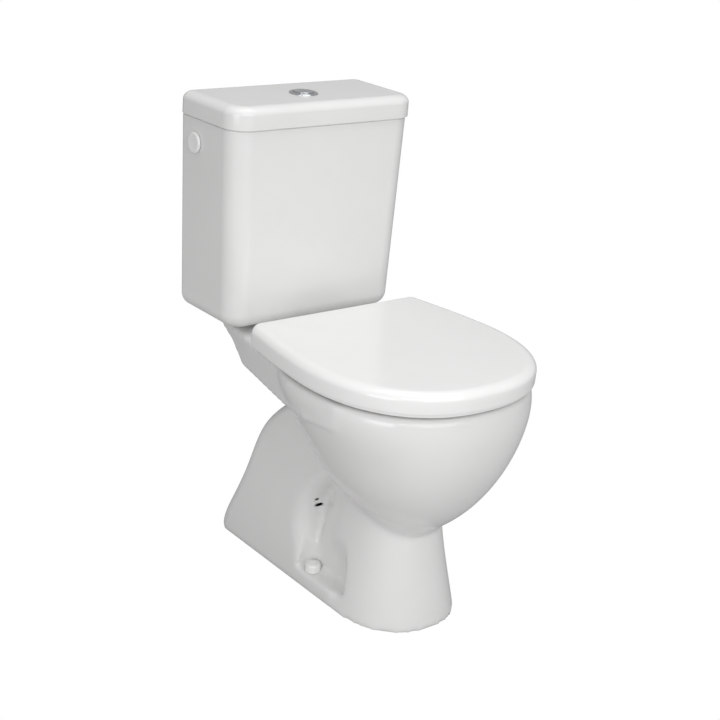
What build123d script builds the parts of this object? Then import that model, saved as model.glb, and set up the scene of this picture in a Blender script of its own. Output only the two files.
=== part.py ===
"""Close coupled toilet: floor-standing washdown pan, cistern with dual flush, and hinged seat.

Millimetres. +Z is up, the front of the pan faces -Y and the wall is at +Y.
The origin is on the floor, on the centre line, under the axis of the vertical outlet.
Depths named below are measured forwards from the wall, as a fitter would measure them.
"""
from build123d import *
from math import atan2, copysign, cos, degrees, hypot, pi, radians, sin
import os

# ---------------------------------------------------------------- driving dimensions
WALL_Y = 205.0               # wall to outlet axis: the set-out of the pan

# cistern lid
LID_TOP_Z = 780.0
LID_WIDTH = 366.0
LID_DEPTH = 170.0
LID_HEIGHT = 39.0
LID_WALL = 8.0
LID_LIP = 7.0                # locating lip that hangs inside the cistern's mouth
LID_EDGE = 14.0              # rounding of the top edges

# cistern
CISTERN_TOP_WIDTH = 360.0
CISTERN_BOTTOM_WIDTH = 336.0
CISTERN_DEPTH = 166.0
CISTERN_BOTTOM_Z = 410.0
CISTERN_WALL = 9.0
BACK_TRIM = 1.0              # ground off the fired back, so that it stands flat against the wall
CISTERN_FLOOR = 10.0
CISTERN_FRONT_CORNER = 36.0
CISTERN_REAR_CORNER = 16.0
CISTERN_FOOT_ROUND = 22.0

# holes that the cistern and pan share
VALVE_DEPTH = 88.0           # flush valve axis, from the wall
VALVE_HOLE_R = 31.0
COUPLING_SPACING = 150.0
COUPLING_HOLE_R = 5.5
COUPLING_BOLT_R = 4.0
INLET_DEPTH = 51.0           # side water inlets, from the wall
INLET_Z = 702.0
INLET_HOLE_R = 11.5
INLET_THREAD_R = 10.48       # G1/2 male thread
WALL_SCREW_SPACING = 220.0
WALL_SCREW_Z = 660.0
WALL_SCREW_R = 4.5

# pan
RIM_Z = 400.0
RIM_HALF_WIDTH = 188.5
RIM_FRONT = 602.0
RIM_WIDEST = 395.0
CHINA = 12.0                 # thickness of the pan's walls
DECK_REAR = 26.0             # rear edge of the shelf that carries the cistern
DECK_PLATE = 14.0
BAND_Z = 339.0               # lower edge of the band round the rim and shelf
FOOT_HALF_WIDTH = 103.0
FOOT_FRONT = 524.0
FOOT_REAR = 57.0
LUG_Z = 28.0                 # top of the two floor fixing lugs
FIXING_SPACING = 168.0
FIXING_DEPTH = 318.0
FIXING_HOLE_R = 7.6

# trapway
TRAP_BORE_R = 42.0
OUTLET_R = 51.0
OUTLET_END_Z = 12.0

# seat
HINGE_SPACING = 155.0
HINGE_DEPTH = 215.0
HINGE_Z = 428.0
HINGE_PIN_R = 4.0
HINGE_BOLT_R = 4.0
RING_Z = 404.0
RING_TOP_Z = 425.0
COVER_Z = 411.5
COVER_CEILING_Z = 434.0
SEAT_REAR = 230.0
RING_SETBACK = 13.0          # clears the cover's rear wall as it swings past
LUG_REACH = 40.0
LUG_R = 10.0
HINGE_HEAD_R = 7.5
RUNNING = 0.06               # radial clearance of a running fit

# flush buttons and flush valve
BUTTON_DEPTH = 93.0          # button axis, from the wall
BEZEL_R = 24.5
BEZEL_NECK_R = 19.4
BEZEL_FLOOR_Z = 757.0
BUTTON_R = 17.0
BUTTON_TOP_Z = 784.0
BUTTON_TRAVEL = 6.0
VALVE_TOP_Z = 668.0
ROD_R = 3.0
ROD_TIP_Z = VALVE_TOP_Z + BUTTON_TRAVEL + 1.0
ROD_OFFSETS = {"full_flush_button": 6.5, "half_flush_button": -9.5}
LIFT_TUBE_R = 14.0

# fill valve
FILL_X = 132.0
INLET_TAIL_X = 206.0
RELIEF_R = 9.6               # thread relief between the back nut and the free end
FLOAT_GUIDE_R = 8.0
FLOAT_Z = 600.0
LEVER_REACH = 40.0
LEVER_SWING = 34.0           # degrees, for the whole travel of the float
PIVOT_X = 110.0
PIVOT_Z = 704.0
PIVOT_R = 2.0

# egg-shaped outlines
EGG_POWER = 2.3
OUTLINE_POINTS = 16
SHARPEST_CORNER = 6.0

parts = {}


# ---------------------------------------------------------------- shared shapes
def from_wall(depth):
    """The Y of a point this far in front of the wall."""
    return WALL_Y - depth


def egg_point(angle, z, half_width, reach, widest):
    """Point of a superellipse centred at its widest line; angle 0 is +X and a quarter turn is rearwards."""
    x = copysign(abs(cos(angle)) ** (2 / EGG_POWER), cos(angle)) * half_width
    along = copysign(abs(sin(angle)) ** (2 / EGG_POWER), sin(angle)) * reach
    return (x, from_wall(widest) + along, z)


def egg_face(z, half_width, front, rear, widest):
    """Level egg-shaped face: one half of a superellipse in front of its widest line, one behind it."""
    points = []
    for step in range(OUTLINE_POINTS):
        angle = 2 * pi * step / OUTLINE_POINTS
        reach = widest - rear if sin(angle) > 0 else front - widest
        points.append(egg_point(angle, z, half_width, reach, widest))
    return make_face(Spline(*points, periodic=True))


def horseshoe_face(z, half_width, front, rear, widest, taper, corner):
    """Level face with an egg-shaped front, straight sides that close in by the taper, and a straight rear."""
    steps = range(OUTLINE_POINTS // 2 + 1)
    points = [egg_point(-pi * step / steps[-1], z, half_width, front - widest, widest) for step in steps]
    nose = Spline(*points, tangents=[(0, -1, 0), (0, 1, 0)])
    rear_half = half_width - taper * (widest - rear)
    back = Polyline(points[-1], (-rear_half, from_wall(rear), z), (rear_half, from_wall(rear), z), points[0])
    face = make_face([nose, back])
    return fillet(face.vertices().sort_by(Axis.Y)[-2:], corner)


def egg_solid(sections):
    """Loft through egg faces given as dictionaries of egg_face arguments, lowest first."""
    return loft([egg_face(**section) for section in sections])


def egg_slab(low_z, high_z, **outline):
    """Upright prism on an egg-shaped or horseshoe outline."""
    face = horseshoe_face if "corner" in outline else egg_face
    return extrude(face(z=low_z, **outline), amount=high_z - low_z)


def block_face(z, half_width, front, rear, radius):
    """Level rounded rectangle between two depths from the wall."""
    middle = from_wall((front + rear) / 2)
    return Pos(0, middle, z) * RectangleRounded(2 * half_width, front - rear, radius)


def box_between(low, high):
    """Plain box from its lowest to its highest corner."""
    size = [high[i] - low[i] for i in range(3)]
    centre = [(high[i] + low[i]) / 2 for i in range(3)]
    return Pos(*centre) * Box(*size)


def upright(radius, low_z, high_z, x=0.0, y=0.0):
    """Vertical cylinder between two heights."""
    return Pos(x, y, (low_z + high_z) / 2) * Cylinder(radius, high_z - low_z)


def tube(outer, inner, low_z, high_z, x=0.0, y=0.0):
    """Vertical tube between two heights."""
    return upright(outer, low_z, high_z, x, y) - upright(inner, low_z - 1, high_z + 1, x, y)


def along_x(radius, low_x, high_x, y, z):
    """Cylinder lying along X."""
    return Pos((low_x + high_x) / 2, y, z) * Rot(0, 90, 0) * Cylinder(radius, high_x - low_x)


def pair(solid):
    """A solid and its mirror image across the centre line."""
    return [solid, mirror(solid, about=Plane.YZ)]


def hexagon(across_flats, low_z, high_z, x, y):
    """Vertical hexagonal prism, for bolt heads and nuts."""
    sketch = RegularPolygon(across_flats / 2, 6, major_radius=False)
    return extrude(Pos(x, y, low_z) * sketch, amount=high_z - low_z)


def wing_nut(bore, low_z, x, y, turn=0.0):
    """Moulded nylon wing nut; its two wings lie along Y, or turned from there."""
    nut = Cone(8.5, 10.5, 14)
    for side in (-1, 1):
        nut += Pos(0, side * 13, 1) * Box(3.5, 12, 11)
    nut -= Cylinder(bore, 20)
    return Pos(x, y, low_z + 7) * Rot(0, 0, turn) * nut


def keep(name, *solids):
    """Store one node; several solids make one group of like pieces."""
    parts[name] = solids[0] if len(solids) == 1 else Compound(children=list(solids))
    parts[name].label = name


# ---------------------------------------------------------------- pan
RIM_OUTLINE = dict(half_width=RIM_HALF_WIDTH, front=RIM_FRONT, rear=DECK_REAR, widest=RIM_WIDEST,
                   taper=0.2, corner=70.0)
BAND_UNDERSIDE = dict(half_width=184.0, front=594.0, rear=DECK_REAR, widest=RIM_WIDEST,
                      taper=0.225, corner=70.0)
BOWL_OPENING = dict(half_width=136.0, front=552.0, rear=252.0, widest=400.0)
GROOVE_INSIDE = dict(half_width=146.0, front=562.0, rear=243.0, widest=400.0)
GROOVE_OUTSIDE = dict(half_width=169.0, front=587.0, rear=228.0, widest=400.0)
GROOVE_TOP_Z = 387.0
LIP_Z = 360.0
BOWL_TOP_Z = 350.0
BOWL_WALL = 10.0

# outer skin of the bowl, and its inner surface down to the sump, both lowest first
BOWL_OUTSIDE = [
    dict(z=152, half_width=34, front=484, rear=392, widest=430),
    dict(z=200, half_width=91, front=542, rear=343, widest=430),
    dict(z=250, half_width=131, front=576, rear=299, widest=430),
    dict(z=300, half_width=157, front=597, rear=261, widest=427),
    dict(z=350, half_width=181, front=606, rear=235, widest=412),
    dict(z=RIM_Z, half_width=RIM_HALF_WIDTH, front=RIM_FRONT, rear=210, widest=RIM_WIDEST),
]
BOWL_INSIDE = [
    dict(z=106, half_width=38, front=462, rear=378, widest=425),
    dict(z=150, half_width=48, front=480, rear=368, widest=425),
    dict(z=200, half_width=78, front=526, rear=345, widest=430),
    dict(z=250, half_width=118, front=563, rear=308, widest=430),
    dict(z=300, half_width=144, front=584, rear=270, widest=425),
    dict(z=BOWL_TOP_Z, **GROOVE_OUTSIDE),
]
# the column under the bowl flares towards the floor
COLUMN = [
    dict(z=0, half_width=FOOT_HALF_WIDTH, front=FOOT_FRONT, rear=270, widest=404),
    dict(z=50, half_width=92.5, front=513, rear=270, widest=404),
    dict(z=100, half_width=82.5, front=501.5, rear=275, widest=404),
    dict(z=150, half_width=75, front=491, rear=280, widest=404),
    dict(z=220, half_width=70, front=480, rear=290, widest=404),
]
# the skirt behind it leans forward and passes under the shelf: z, half width, front, rear
SKIRT = [
    (0, 103, 300, 57),
    (100, 101, 300, 97),
    (190, 97, 335, 133),
    (260, 94, 400, 178),
    (300, 92, 410, 225),
    (345, 88, 410, 275),
]
SKIRT_CORNER = 28.0
CAVITY_LEVELS = 4            # the hollow of the foot stops at the fourth level
POCKET_REAR = (90.0, 318.0)  # long scoops over the floor fixings: x and depth of their two ends
POCKET_FRONT = (95.0, 390.0)
POCKET_R = 24.0
POCKET_TAPER = 6.5           # degrees, so that a scoop is 8 in radius at its top
POCKET_TOP_Z = 168.0
TRAP_ROUTE = [(440, 135), (370, 88), (303, 237), (205, 237), (205, OUTLET_END_Z)]
TRAP_RADII = [52, 58, 58]
CHAMBER_HALF_WIDTH = 58.0
CHAMBER_FLOOR_Z = 337.0
SHANK_HOLE_R = 34.0
RECESS_R = 50.5
RECESS_Z = 392.0
SEAT_HOLE_R = 6.0


def grown(section, amount):
    """The same egg section with its outline moved outwards, or inwards if negative."""
    moved = dict(section)
    moved["half_width"] += amount
    moved["front"] += amount
    moved["rear"] -= amount
    if "corner" in moved:
        moved["corner"] = max(moved["corner"] + amount, SHARPEST_CORNER)
    return moved


def below_floor(z):
    """Cutting tools start a little under the floor."""
    return -1.0 if z == 0 else z


def trap_pipe(radius):
    """Round pipe along the trapway's centre line, from the sump to the outlet."""
    points = [(0, from_wall(depth), z) for depth, z in TRAP_ROUTE]
    path = FilletPolyline(*points, radius=TRAP_RADII)
    start = Plane(origin=path @ 0, z_dir=path % 0)
    return sweep(start * Circle(radius), path=path)


def rim_band():
    """Band round the rim and the shelf, drafted inwards, with a hollow bracket shape under its rear end."""
    slab = loft([horseshoe_face(z=BAND_Z - 12, **BAND_UNDERSIDE), horseshoe_face(z=RIM_Z, **RIM_OUTLINE)])
    rear_end = from_wall(DECK_REAR - 20)
    front_end = from_wall(RIM_FRONT + 20)
    arch_start = (from_wall(72), RIM_Z - 18)
    arch_middle = (from_wall(118), RIM_Z - 37)
    arch_end = (from_wall(144), BAND_Z)
    side_end = (from_wall(330), BAND_Z + 4)
    under = [
        Line((rear_end, RIM_Z - 18), arch_start),
        ThreePointArc(arch_start, arch_middle, arch_end),
        Line(arch_end, side_end),
        Line(side_end, (front_end, RIM_Z - 22)),
        Polyline((front_end, RIM_Z - 22), (front_end, 0), (rear_end, 0), (rear_end, RIM_Z - 18)),
    ]
    profile = Plane.YZ * make_face(Curve() + under)
    return slab - extrude(profile, amount=300, both=True)


def pockets(extra):
    """Long scoops over the two floor fixings, grown all round by the extra amount."""
    run_x = POCKET_FRONT[0] - POCKET_REAR[0]
    run_y = POCKET_REAR[1] - POCKET_FRONT[1]
    middle = Pos(POCKET_REAR[0] + run_x / 2, from_wall(POCKET_REAR[1]) + run_y / 2, LUG_Z)
    heading = degrees(atan2(run_y, run_x))
    slot = SlotCenterToCenter(hypot(run_x, run_y), 2 * (POCKET_R + extra), rotation=heading)
    scoop = extrude(middle * slot, amount=POCKET_TOP_Z + extra - LUG_Z, taper=POCKET_TAPER)
    return pair(scoop)


def foot_cavity():
    """Hollow inside the foot, open to the floor, less the fixing lugs and the pockets' walls."""
    column = egg_solid([dict(grown(s, -CHINA), z=below_floor(s["z"])) for s in COLUMN[:CAVITY_LEVELS]])
    skirt = loft([
        block_face(below_floor(z), half - CHINA, front - CHINA, rear + CHINA, SKIRT_CORNER - CHINA)
        for z, half, front, rear in SKIRT[:CAVITY_LEVELS]
    ])
    bridge = box_between((-36, from_wall(400), -1), (36, from_wall(270), 150))
    lug = box_between((60, from_wall(POCKET_FRONT[1]) - 26, -2), (110, from_wall(FIXING_DEPTH) + 26, LUG_Z))
    return column + [skirt, bridge] - (pair(lug) + pockets(CHINA - 2))


def deck_cavity():
    """Open space under the shelf, round the water chamber and behind the bowl."""
    space = egg_slab(320, RIM_Z - DECK_PLATE, **grown(BAND_UNDERSIDE, -CHINA))
    space &= box_between((-200, from_wall(245), 300), (200, from_wall(DECK_REAR + CHINA), RIM_Z))
    space -= egg_slab(300, RIM_Z, **grown(GROOVE_OUTSIDE, BOWL_WALL))
    return space - water_chamber(0.0)


def water_chamber(wall):
    """Chamber under the shelf that takes the flush from the cistern to the rim, less a wall."""
    reach = CHAMBER_HALF_WIDTH - wall
    return box_between((-reach, from_wall(228), CHAMBER_FLOOR_Z + wall),
                       (reach, from_wall(40 + wall), RIM_Z - DECK_PLATE))


def make_pan():
    """The whole pan is one glazed casting."""
    skirt = loft([block_face(z, half, front, rear, SKIRT_CORNER) for z, half, front, rear in SKIRT])
    sole = extrude(block_face(0, FOOT_HALF_WIDTH, 410, FOOT_REAR + 40, SKIRT_CORNER), amount=LUG_Z)
    body = egg_solid(BOWL_OUTSIDE) + [rim_band(), skirt, egg_solid(COLUMN), sole, water_chamber(0.0)]
    body -= pockets(0.0) + [foot_cavity(), deck_cavity()]

    bowl_wall = [grown(section, BOWL_WALL) for section in BOWL_INSIDE]
    bowl_wall[0]["z"] -= BOWL_WALL
    body += [egg_solid(bowl_wall), trap_pipe(OUTLET_R)]

    lip = egg_slab(LIP_Z, GROOVE_TOP_Z + 1, **GROOVE_INSIDE)
    hollows = [
        egg_solid(BOWL_INSIDE),
        trap_pipe(TRAP_BORE_R),
        egg_slab(BOWL_TOP_Z - 0.5, GROOVE_TOP_Z, **GROOVE_OUTSIDE) - lip,
        egg_slab(BOWL_TOP_Z - 1, RIM_Z + 1, **BOWL_OPENING),
        water_chamber(10.0),
        box_between((-30, from_wall(250), 352), (30, from_wall(215), 384)),
        upright(SHANK_HOLE_R, RIM_Z - 30, RIM_Z + 1, 0, from_wall(VALVE_DEPTH)),
        upright(RECESS_R, RECESS_Z, RIM_Z + 1, 0, from_wall(VALVE_DEPTH)),
    ]
    holes = [
        (COUPLING_HOLE_R, COUPLING_SPACING / 2, VALVE_DEPTH, RIM_Z - 30, RIM_Z + 1),
        (SEAT_HOLE_R, HINGE_SPACING / 2, HINGE_DEPTH, RIM_Z - 30, RIM_Z + 1),
        (FIXING_HOLE_R, FIXING_SPACING / 2, FIXING_DEPTH, -1, LUG_Z + 1),
    ]
    for radius, x, depth, low_z, high_z in holes:
        hollows += pair(upright(radius, low_z, high_z, x, from_wall(depth)))
    return body - hollows


# ---------------------------------------------------------------- cistern and its lid
def tank_face(z, width, near, far, front_corner, rear_corner):
    """Level rectangle between two depths from the wall, with its own front and rear corners."""
    face = Pos(0, from_wall((near + far) / 2), z) * Rectangle(width, far - near)
    face = fillet(face.vertices().sort_by(Axis.Y)[:2], front_corner)
    return fillet(face.vertices().sort_by(Axis.Y)[-2:], rear_corner)


def tank_solid(low_z, high_z, margin, near, floor_round):
    """The cistern's tapered block, moved inwards by a margin, with its back at a depth of its own."""
    rise = CISTERN_TOP_WIDTH - CISTERN_BOTTOM_WIDTH
    span = LID_TOP_Z - LID_HEIGHT - CISTERN_BOTTOM_Z
    faces = []
    for z in (low_z, high_z):
        width = CISTERN_BOTTOM_WIDTH + rise * (z - CISTERN_BOTTOM_Z) / span - 2 * margin
        faces.append(tank_face(z, width, near, CISTERN_DEPTH - margin,
                               CISTERN_FRONT_CORNER - margin, CISTERN_REAR_CORNER - margin))
    solid = loft(faces)
    return fillet(solid.faces().sort_by(Axis.Z)[0].edges(), floor_round)


def make_cistern():
    """Open-topped china tank with the valve, bolt, inlet and wall screw holes."""
    mouth_z = LID_TOP_Z - LID_HEIGHT
    tank = tank_solid(CISTERN_BOTTOM_Z, mouth_z, 0.0, -BACK_TRIM, CISTERN_FOOT_ROUND)
    tank &= box_between((-CISTERN_TOP_WIDTH, from_wall(CISTERN_DEPTH + 1), CISTERN_BOTTOM_Z - 1),
                        (CISTERN_TOP_WIDTH, WALL_Y, mouth_z + 1))
    tank -= tank_solid(CISTERN_BOTTOM_Z + CISTERN_FLOOR, mouth_z + 1, CISTERN_WALL, CISTERN_WALL, 12.0)
    tank -= upright(VALVE_HOLE_R, CISTERN_BOTTOM_Z - 1, CISTERN_BOTTOM_Z + 30, 0, from_wall(VALVE_DEPTH))
    bolt = upright(COUPLING_HOLE_R, CISTERN_BOTTOM_Z - 1, CISTERN_BOTTOM_Z + 30,
                   COUPLING_SPACING / 2, from_wall(VALVE_DEPTH))
    screw = Pos(WALL_SCREW_SPACING / 2, WALL_Y, WALL_SCREW_Z) * Rot(90, 0, 0) * Cylinder(WALL_SCREW_R, 50)
    for hole in pair(bolt) + pair(screw):
        tank -= hole
    return tank - along_x(INLET_HOLE_R, -200, 200, from_wall(INLET_DEPTH), INLET_Z)


def make_lid():
    """Lift-off lid with a hollow underside and a lip that locates it in the cistern's mouth."""
    seam_z = LID_TOP_Z - LID_HEIGHT
    block = extrude(tank_face(seam_z, LID_WIDTH, 0, LID_DEPTH, 38, 20), amount=LID_HEIGHT)
    block = fillet(block.faces().sort_by(Axis.Z)[-1].edges(), LID_EDGE)
    gap = CISTERN_WALL + 2.5
    lip_width = CISTERN_TOP_WIDTH - 2 * gap
    block += extrude(tank_face(seam_z - LID_LIP, lip_width, gap, CISTERN_DEPTH - gap, 26, 10),
                     amount=LID_LIP + 2)
    block -= extrude(tank_face(seam_z - LID_LIP - 1, lip_width - 14, gap + 7, CISTERN_DEPTH - gap - 7, 20, 6),
                     amount=LID_LIP + 6)
    block -= extrude(tank_face(seam_z + 5, LID_WIDTH - 24, 12, LID_DEPTH - 12, 27, 9),
                     amount=LID_HEIGHT - 5 - LID_WALL)
    return block - upright(BEZEL_NECK_R + 0.6, seam_z, LID_TOP_Z + 1, 0, from_wall(BUTTON_DEPTH))


# ---------------------------------------------------------------- flush buttons, carried by the lid
def make_bezel():
    """Chromed cup: a flange on the lid, a threaded neck, and a floor that guides the two rods."""
    y = from_wall(BUTTON_DEPTH)
    flange = upright(BEZEL_R, LID_TOP_Z, LID_TOP_Z + 2.8, 0, y)
    flange = fillet(flange.faces().sort_by(Axis.Z)[-1].edges(), 1.6)
    cup = flange + upright(BEZEL_NECK_R, BEZEL_FLOOR_Z, LID_TOP_Z, 0, y)
    cup -= upright(BUTTON_R + 0.35, BEZEL_FLOOR_Z + 2.5, LID_TOP_Z + 4, 0, y)
    for offset in ROD_OFFSETS.values():
        cup -= upright(ROD_R + RUNNING, BEZEL_FLOOR_Z - 1, BEZEL_FLOOR_Z + 4, 0, y + offset)
    return cup


def make_button(name, front_y, rear_y):
    """One of the two D-shaped push plates with its rod; the edges are limits of its share of the disc."""
    y = from_wall(BUTTON_DEPTH)
    disc = upright(BUTTON_R, BUTTON_TOP_Z - 9, BUTTON_TOP_Z, 0, y)
    plate = disc & box_between((-30, y + front_y, 700), (30, y + rear_y, 800))
    plate = fillet(plate.faces().sort_by(Axis.Z)[-1].edges(), 1.0)
    rod = upright(ROD_R, ROD_TIP_Z, BUTTON_TOP_Z - 8, 0, y + ROD_OFFSETS[name])
    return plate + rod


def coil(radius, wire, low_z, high_z, turns, x, y):
    """Open coil spring standing between two heights."""
    rise = high_z - low_z - 2 * wire
    path = Helix(pitch=rise / turns, height=rise, radius=radius, center=(0, 0, low_z + wire))
    start = Plane(origin=path @ 0, z_dir=path % 0)
    return Pos(x, y, 0) * sweep(start * Circle(wire), path=path, is_frenet=True)


# ---------------------------------------------------------------- flush valve
def make_valve_cage():
    """Guide cage of the flush valve: windows at the foot, a collar for the lift tube, a top plate."""
    y = from_wall(VALVE_DEPTH)
    cage = tube(36, 33, 427, 600, 0, y)
    window = box_between((-14, y - 50, 433), (14, y + 50, 500))
    for angle in (45, 135):
        cage -= Pos(0, y, 0) * Rot(0, 0, angle) * Pos(0, -y, 0) * window
    cage += tube(36, LIFT_TUBE_R + RUNNING, 600, 608, 0, y)
    for angle in range(45, 405, 90):
        leg = box_between((26, -3, 606), (32, 3, VALVE_TOP_Z - 4))
        cage += Pos(0, y, 0) * Rot(0, 0, angle) * leg
    return cage + upright(33, VALVE_TOP_Z - 6, VALVE_TOP_Z, 0, y)


# ---------------------------------------------------------------- fill valve
def make_fill_body():
    """Side-entry float valve: threaded shank, head with a pivot ear, and the outlet pipe."""
    y = from_wall(INLET_DEPTH)
    body = upright(15, 688, 722, FILL_X, y)
    body += upright(FLOAT_GUIDE_R, 480, 690, FILL_X, y)
    body += along_x(INLET_THREAD_R, FILL_X, INLET_TAIL_X, y, INLET_Z)
    body -= along_x(INLET_THREAD_R + 1, 188, 189, y, INLET_Z) - along_x(RELIEF_R, 187, 190, y, INLET_Z)
    body += along_x(18, 162, 165, y, INLET_Z)
    body -= along_x(6.5, FILL_X + 4, INLET_TAIL_X + 1, y, INLET_Z)
    body -= upright(5.5, 479, 698, FILL_X, y)
    for side in (-1, 1):
        near, far = sorted((y + side * 4.0, y + side * 6.4))
        ear = box_between((PIVOT_X - 5, near, INLET_Z - 6), (FILL_X, far, INLET_Z + 8))
        body += ear
    return body - pivot_rod(PIVOT_R, 10)


def pivot_rod(radius, reach):
    """Short rod across the lever's pivot, along Y."""
    y = from_wall(INLET_DEPTH)
    return Pos(PIVOT_X, y, PIVOT_Z) * Rot(90, 0, 0) * Cylinder(radius, 2 * reach)


def make_lever():
    """Float lever, drooping at rest, with a fork that straddles the float's rod."""
    bar = box_between((-LEVER_REACH - 6, -3.6, -1.5), (0, 3.6, 1.5))
    bar += Rot(90, 0, 0) * Cylinder(4.6, 7.2)
    bar -= box_between((-LEVER_REACH - 7, -2.6, -2), (-LEVER_REACH + 7, 2.6, 2))
    bar -= Rot(90, 0, 0) * Cylinder(PIVOT_R + RUNNING, 20)
    return Pos(PIVOT_X, from_wall(INLET_DEPTH), PIVOT_Z) * Rot(0, -LEVER_SWING / 2, 0) * bar


def make_float():
    """Float cup sliding on the outlet pipe, with the rod that works the lever."""
    y = from_wall(INLET_DEPTH)
    cup = tube(25, FLOAT_GUIDE_R + RUNNING, FLOAT_Z, FLOAT_Z + 48, FILL_X, y)
    cup = fillet(cup.edges().filter_by(GeomType.CIRCLE).group_by(Axis.Z)[0].sort_by(SortBy.RADIUS)[-1], 4)
    rod_x = PIVOT_X - LEVER_REACH * cos(radians(LEVER_SWING / 4))
    cup += box_between((rod_x - 4, y - 4, FLOAT_Z + 42), (FILL_X - 20, y + 4, FLOAT_Z + 48))
    lever_z = PIVOT_Z - LEVER_REACH * sin(radians(LEVER_SWING / 2))
    cup += upright(2, FLOAT_Z + 44, lever_z + 9, rod_x, y)
    for low_z in (lever_z - 7, lever_z + 5):
        cup += upright(4, low_z, low_z + 2, rod_x, y)
    return cup


# ---------------------------------------------------------------- seat
SEAT_OUTLINE = dict(widest=RIM_WIDEST, rear=SEAT_REAR, taper=0.13, corner=14.0)
RING_HOLE = dict(half_width=115.0, front=545.0, rear=268.0, widest=405.0)


def hinge_lug(low_x, high_x, low_z, high_z):
    """Lug round the hinge pin with an arm that runs forward into its seat part."""
    axis_y = from_wall(HINGE_DEPTH)
    lug = along_x(LUG_R, low_x, high_x, axis_y, HINGE_Z)
    lug += box_between((low_x, from_wall(HINGE_DEPTH + LUG_REACH), low_z), (high_x, axis_y, high_z))
    return lug - along_x(HINGE_PIN_R + RUNNING, low_x - 1, high_x + 1, axis_y, HINGE_Z)


def make_seat_ring():
    """Seat ring with rounded top edges and two rear lugs."""
    outline = dict(half_width=186.5, front=600.0, **SEAT_OUTLINE)
    outline["rear"] = SEAT_REAR + RING_SETBACK
    ring = egg_slab(RING_Z, RING_TOP_Z, **outline) - egg_slab(RING_Z - 1, RING_TOP_Z + 1, **RING_HOLE)
    ring = fillet(ring.faces().sort_by(Axis.Z)[-1].edges(), 5.0)
    for lug in pair(hinge_lug(87, 98, 415, RING_TOP_Z)):
        ring += lug
    return ring


def cover_level(outline, amount):
    """The cover's outline moved outwards, with its straight rear edge kept where it is unless it moves in."""
    moved = grown(outline, amount)
    moved["rear"] = outline["rear"] - min(amount, 0.0)
    return moved


def make_seat_cover():
    """Shallow domed shell that closes over the ring, open at the back between its lugs."""
    outline = dict(half_width=193.0, front=606.5, **SEAT_OUTLINE)
    rise = [(COVER_Z, 0.0), (430, 0.6), (438, -3.0), (442.5, -12.0), (446, -45.0)]
    dome = loft([horseshoe_face(z=z, **cover_level(outline, out)) for z, out in rise], ruled=True)
    inside = cover_level(outline, -4.5)
    inside["rear"] = SEAT_REAR + 5
    mouth = box_between((-104, from_wall(SEAT_REAR + 14), COVER_Z - 1),
                        (104, from_wall(SEAT_REAR - 10), COVER_CEILING_Z))
    dome -= [egg_slab(COVER_Z - 1, COVER_CEILING_Z - 3, **inside),
             egg_slab(COVER_Z - 1, COVER_CEILING_Z, **cover_level(inside, -5.0)), mouth]
    for lug in pair(hinge_lug(57, 68, COVER_CEILING_Z - 8, COVER_CEILING_Z + 3)):
        dome += lug
    return dome


def make_hinge_post():
    """Moulded hinge post: a round base on the shelf and a barrel that holds the pin."""
    y = from_wall(HINGE_DEPTH)
    x = HINGE_SPACING / 2
    post = upright(15, 402, 409, x, y)
    post += box_between((x - 7.5, y - 9.5, 406), (x + 7.5, y + 9.5, HINGE_Z))
    post += along_x(9.5, x - 7.5, x + 7.5, y, HINGE_Z)
    post -= upright(HINGE_HEAD_R + 0.1, 401, 407.1, x, y)
    return post - along_x(HINGE_PIN_R, x - 10, x + 10, y, HINGE_Z)


def make_hinge_pin():
    """Stepped pin with a head at each end, through the post and both lugs."""
    y = from_wall(HINGE_DEPTH)
    pin = along_x(HINGE_PIN_R, 54, 101, y, HINGE_Z)
    return pin + along_x(6.5, 54, 56, y, HINGE_Z) + along_x(6.5, 99, 101, y, HINGE_Z)


# ---------------------------------------------------------------- the whole object
VALVE_Y = from_wall(VALVE_DEPTH)
HINGE_X = HINGE_SPACING / 2
COUPLING_X = COUPLING_SPACING / 2
FIXING_X = FIXING_SPACING / 2

keep("pan", make_pan())
keep("cistern", make_cistern())
keep("cistern_lid", make_lid())

# joint between cistern and pan
keep("coupling_gasket", tube(50, 39.6, RECESS_Z, CISTERN_BOTTOM_Z, 0, VALVE_Y))
nut = extrude(Pos(0, VALVE_Y, 398) * RegularPolygon(39, 12), amount=11.9)
keep("valve_back_nut", nut - upright(29.6, 390, 420, 0, VALVE_Y))
bolt = upright(COUPLING_BOLT_R, 362, 426, COUPLING_X, VALVE_Y)
bolt += hexagon(13, 424, 429.5, COUPLING_X, VALVE_Y)
keep("coupling_bolts", *pair(bolt))
keep("coupling_bolt_seals", *pair(tube(13, COUPLING_BOLT_R + 0.1, 420, 424, COUPLING_X, VALVE_Y)))
keep("coupling_pads", *pair(tube(15, COUPLING_BOLT_R + 1.5, RIM_Z, CISTERN_BOTTOM_Z, COUPLING_X, VALVE_Y)))
keep("coupling_washers", *pair(tube(12, COUPLING_BOLT_R + 0.3, 384.4, 386, COUPLING_X, VALVE_Y)))
keep("coupling_wing_nuts", *pair(wing_nut(COUPLING_BOLT_R + 0.05, 370.4, COUPLING_X, VALVE_Y)))

# flush valve
base = upright(41, 423, 427, 0, VALVE_Y) + upright(29.5, 372, 424, 0, VALVE_Y)
base += upright(30, 426, 433, 0, VALVE_Y)
keep("flush_valve_base", base - upright(25.5, 370, 440, 0, VALVE_Y))
keep("flush_valve_washer", tube(40, 29.6, 420, 423, 0, VALVE_Y))
keep("flush_valve_cage", make_valve_cage())
lift = upright(28, 437, 440, 0, VALVE_Y) + upright(LIFT_TUBE_R, 437, 640, 0, VALVE_Y)
keep("lift_tube", lift - upright(11.5, 430, 650, 0, VALVE_Y))
keep("lift_tube_seal", tube(29, 11.5, 433.05, 437, 0, VALVE_Y))

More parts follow.
